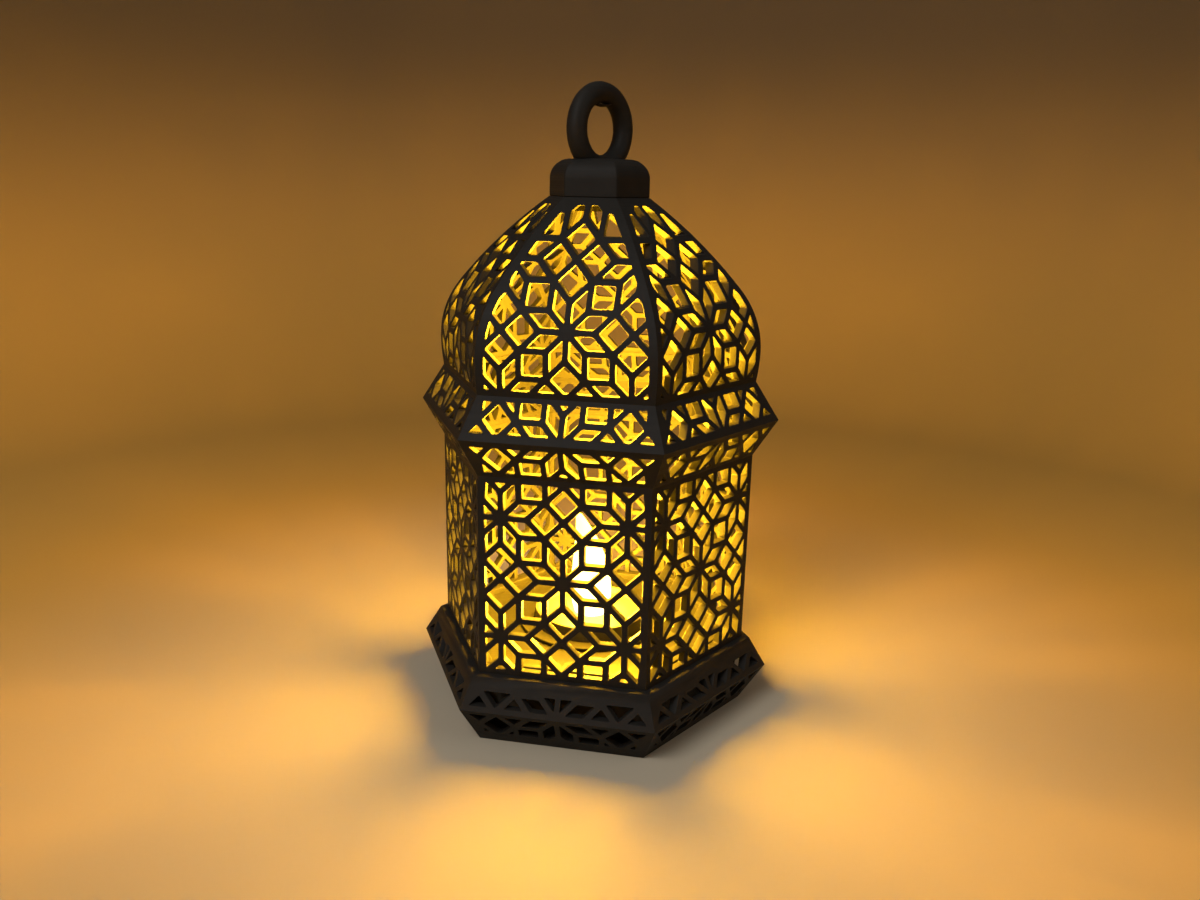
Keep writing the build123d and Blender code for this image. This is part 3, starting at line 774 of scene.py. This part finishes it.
brushed_lines = brushed_group()


def nickel_steel(name, rings):
    material, tree, shader, surface = new_material(name)
    shader.inputs["Metallic"].default_value = 1.0
    place = add_node(tree, "ShaderNodeSeparateXYZ", {0: surface["Object"]}).outputs
    across = place["X"]
    if rings:
        y_square = maths(tree, "MULTIPLY", place["Y"], place["Y"])
        across = maths(tree, "SQRT", maths(tree, "MULTIPLY_ADD", place["X"], place["X"], y_square))
    lines = use_group(tree, brushed_lines, {"Across": across, "Lines Per Metre": 5200.0})
    mottle = use_group(tree, plastic_mottle, {"Position": surface["Object"], "Cloud Scale": 260.0,
                                              "Grain Scale": 3000.0})
    tree.links.new(blend_colours(tree, mottle["Mottle"], NICKEL_DEEP, NICKEL_PALE),
                   shader.inputs["Base Color"])
    tree.links.new(remap(tree, lines["Line"], *NICKEL_ROUGHNESS), shader.inputs["Roughness"])
    tree.links.new(bump(tree, lines["Line"], LINE_DEPTH), shader.inputs["Normal"])
    return material


nodes["coin_cell"].material_slots[0].material = nickel_steel("cell_nickel", rings=True)
contact_nickel = nickel_steel("contact_nickel", rings=False)
for name in ("spring_contact", "strip_contact"):
    nodes[name].material_slots[0].material = contact_nickel
print("Plated steel on the cell and 2 contacts")

# %% [markdown]
# ## The flame and the diode in it
# The flame is a milky moulding over a yellow diode. Light enters at its foot, so the lower half is almost
# white and the tip is amber. An even glow would look like a paper cut-out; a gradient up its height reads
# as a flame from any side. The same gradient, between other heights, lights the diode's dome.

# %% Glowing plastics
GLOW_UNEVEN = 0.24           # how far the mottle pushes the gradient up and down
MILK_DEEP = (0.80, 0.62, 0.30, 1)
MILK_PALE = (0.92, 0.76, 0.44, 1)
MILK_ROUGHNESS = (0.24, 0.40)
FLAME_FOOT = (1.0, 0.80, 0.30, 1)
FLAME_TIP = (1.0, 0.62, 0.12, 1)
DIODE_FOOT = (1.0, 0.62, 0.12, 1)
DIODE_TIP = (1.0, 0.72, 0.2, 1)


def glow_height_group():
    inputs = {"Position": "vector", "Low": "value", "High": "value", "Mottle": "value"}
    group, given, result = start_group("glow_height", inputs, {"Share": "value"})
    height = add_node(group, "ShaderNodeSeparateXYZ", {0: given["Position"]}).outputs["Z"]
    rise = fade(group, height, given["Low"], given["High"])
    uneven = maths(group, "MULTIPLY_ADD", given["Mottle"], GLOW_UNEVEN, -GLOW_UNEVEN / 2)
    group.links.new(maths(group, "ADD", rise, uneven), result["Share"])
    return group


glow_height = glow_height_group()


def glowing_plastic(name, node, low_glow, high_glow, strength):
    """A milky plastic on a node, whose glow changes from the node's foot to its top."""
    material, tree, shader, surface = new_material(name)
    low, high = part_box(node)
    place = surface["Object"]
    mottle = use_group(tree, plastic_mottle, {"Position": place, "Cloud Scale": 240.0, "Grain Scale": 2800.0})
    share = use_group(tree, glow_height, {"Position": place, "Low": low.z, "High": high.z,
                                          "Mottle": mottle["Mottle"]})["Share"]
    tree.links.new(blend_colours(tree, share, low_glow, high_glow), shader.inputs["Emission Color"])
    tree.links.new(blend_colours(tree, mottle["Mottle"], MILK_DEEP, MILK_PALE), shader.inputs["Base Color"])
    tree.links.new(remap(tree, mottle["Mottle"], *MILK_ROUGHNESS), shader.inputs["Roughness"])
    tree.links.new(bump(tree, mottle["Grain"], MOULD_DEPTH), shader.inputs["Normal"])
    shader.inputs["Emission Strength"].default_value = strength
    nodes[node].material_slots[0].material = material
    nodes[node].visible_shadow = False


glowing_plastic("flame_glow", "flame_lens", FLAME_FOOT, FLAME_TIP, strength=6.0)
glowing_plastic("diode_glow", "led", DIODE_FOOT, DIODE_TIP, strength=1.5)
print("Flame and diode glow, and let the lamp inside them through")

# %% [markdown]
# ## Studio floor
# The lantern stands on a pale sweep: a floor that curves up into a wall all round, so that no view has a
# horizon. It is the outline of half a bowl, spun once about the lantern's axis. Its paint is pale under
# the lantern. Away from it the paint turns amber, a painted glow for the lantern's light on the floor,
# and it darkens with height, a painted shade for that light falling off, so that the glow shows on it
# and through the openings.

# %% Stage
FLOOR_RADIUS = 0.40
SWEEP_RADIUS = 0.24
WALL_TOP = 0.75
SWEEP_STEPS = 16
ROUND_STEPS = 128
FLOOR_PALE = (0.54, 0.47, 0.35, 1)
# The amber is a painted glow for the lantern's light on the floor. The dark wall colour is a painted shade
# for that light falling off with height.
FLOOR_PAINTED_GLOW = (0.58, 0.36, 0.08, 1)
WALL_PAINTED_SHADE = (0.12, 0.083, 0.036, 1)
PAINTED_GLOW_FADE = (0.05, 0.26)     # metres from the lantern's foot
PAINTED_SHADE_FADE = (0.05, 0.30)     # metres up
PAINT_ROUGHNESS = (0.6, 0.75)


def studio_sweep():
    work = bmesh.new()
    centre = work.verts.new((0, 0, 0))
    edge = work.verts.new((FLOOR_RADIUS, 0, 0))
    work.edges.new((centre, edge))
    arc = bmesh.ops.spin(work, geom=[edge], cent=(FLOOR_RADIUS, 0, SWEEP_RADIUS), axis=(0, 1, 0),
                         angle=-math.pi / 2, steps=SWEEP_STEPS)["geom_last"]
    wall = bmesh.ops.extrude_vert_indiv(work, verts=arc)["verts"][0]
    wall.co.z = WALL_TOP
    bmesh.ops.spin(work, geom=work.verts[:] + work.edges[:], cent=(0, 0, 0), axis=(0, 0, 1),
                   angle=2 * math.pi, steps=ROUND_STEPS, use_merge=True)
    bmesh.ops.remove_doubles(work, verts=work.verts, dist=MERGE)
    bmesh.ops.recalc_face_normals(work, faces=work.faces)
    mesh = bpy.data.meshes.new("studio_sweep")
    work.to_mesh(mesh)
    work.free()
    mesh.shade_smooth()
    sweep = bpy.data.objects.new("studio_sweep", mesh)
    scene.collection.objects.link(sweep)
    return sweep


def painted_light_floor():
    material, tree, shader, surface = new_material("painted_light_floor")
    place = surface["Object"]
    mottle = use_group(tree, plastic_mottle, {"Position": place, "Cloud Scale": 9.0, "Grain Scale": 900.0})
    away = add_node(tree, "ShaderNodeVectorMath", {0: place}, operation="LENGTH").outputs["Value"]
    height = add_node(tree, "ShaderNodeSeparateXYZ", {0: place}).outputs["Z"]
    # Painted glow: amber away from the lantern. Painted shade: darker with height.
    floor = blend_colours(tree, fade(tree, away, *PAINTED_GLOW_FADE), FLOOR_PALE, FLOOR_PAINTED_GLOW)
    paint = blend_colours(tree, fade(tree, height, *PAINTED_SHADE_FADE), floor, WALL_PAINTED_SHADE)
    tree.links.new(paint, shader.inputs["Base Color"])
    tree.links.new(remap(tree, mottle["Grain"], *PAINT_ROUGHNESS), shader.inputs["Roughness"])
    return material


sweep = studio_sweep()
sweep.data.materials.append(painted_light_floor())
print("Sweep", round(2 * (FLOOR_RADIUS + SWEEP_RADIUS), 2), "m across,", len(sweep.data.polygons), "faces")

# %% [markdown]
# ## Studio light
# One large soft lamp stands high on the left of the camera and a weaker one fills from the right, in a
# faint warm air. The key lamp's place also puts the lantern's own shadow behind it, where the openings
# look through to the floor.

# %% Lamps
AIM = Vector((0, 0, 90 * MM))
AIR_COLOUR = (0.95, 0.86, 0.70, 1)
AIR_LEVEL = 0.12


def round_the_lantern(side, rise, distance):
    """A place around the lantern: degrees to the right of the camera, degrees up, metres away."""
    turn = EYE_SIDE + math.radians(side)
    up = math.radians(rise)
    return Vector((math.sin(turn) * math.cos(up), -math.cos(turn) * math.cos(up), math.sin(up))) * distance


def soft_lamp(name, place, size, level):
    """A round area lamp that gives a share of full light at the lantern."""
    data = bpy.data.lights.new(name, "AREA")
    data.shape = "DISK"
    data.size = size
    data.energy = level * (math.pi * (place - AIM).length) ** 2
    lamp = bpy.data.objects.new(name, data)
    scene.collection.objects.link(lamp)
    facing = (AIM - place).to_track_quat("-Z", "Y").to_matrix().to_4x4()
    lamp.matrix_world = Matrix.Translation(place) @ facing
    lamp.visible_camera = False
    print(f"{name}: {data.energy:.2f} W")


soft_lamp("key_lamp", round_the_lantern(side=-30, rise=45, distance=0.78), size=0.40, level=0.56)
soft_lamp("fill_lamp", round_the_lantern(side=60, rise=35, distance=0.72), size=0.45, level=0.14)
studio_air = bpy.data.worlds.new("studio_air")
studio_air.use_nodes = True
studio_air.node_tree.nodes["Background"].inputs["Color"].default_value = AIR_COLOUR
studio_air.node_tree.nodes["Background"].inputs["Strength"].default_value = AIR_LEVEL
scene.world = studio_air

# %% [markdown]
# ## The tea light's own light
# A glowing mesh alone lights a lantern slowly and with grain, so a point lamp low inside the flame does
# the work: it draws the lattice's shadows on the floor and leaves the deck in the shadow of the cup. In
# the photograph the walls of the openings are lit from every side, in the dome almost as brightly as in
# the body, by light that bounces about in the cage. Two wide lamps stand for that, which many more bounces
# would give only slowly. The flame's lamp goes with the tea light when it is lifted out, and the bounced
# light stays with the cage.

# %% Glow lamps
GLOW_AMBER = (1.0, 0.50, 0.012)


def glow_lamp(name, body, height, radius, power):
    """A ball of amber light on the lantern's axis, which moves with a body."""
    data = bpy.data.lights.new(name, "POINT")
    data.color = GLOW_AMBER
    data.energy = power
    data.shadow_soft_size = radius
    lamp = bpy.data.objects.new(name, data)
    scene.collection.objects.link(lamp)
    lamp.location.z = height
    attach(lamp, body)
    print(f"{name}: {power} W at {height / MM:.0f} mm")


glow_lamp("flame_lamp", "tea_light", height=31 * MM, radius=5 * MM, power=4.2)
glow_lamp("body_bounce", "cage", height=64 * MM, radius=36 * MM, power=2.3)
glow_lamp("dome_bounce", "cage", height=112 * MM, radius=32 * MM, power=4.6)

# %% [markdown]
# ## Colour view
# The Standard view shows each colour as it is written.

# %% Finish
scene.view_settings.view_transform = "Standard"
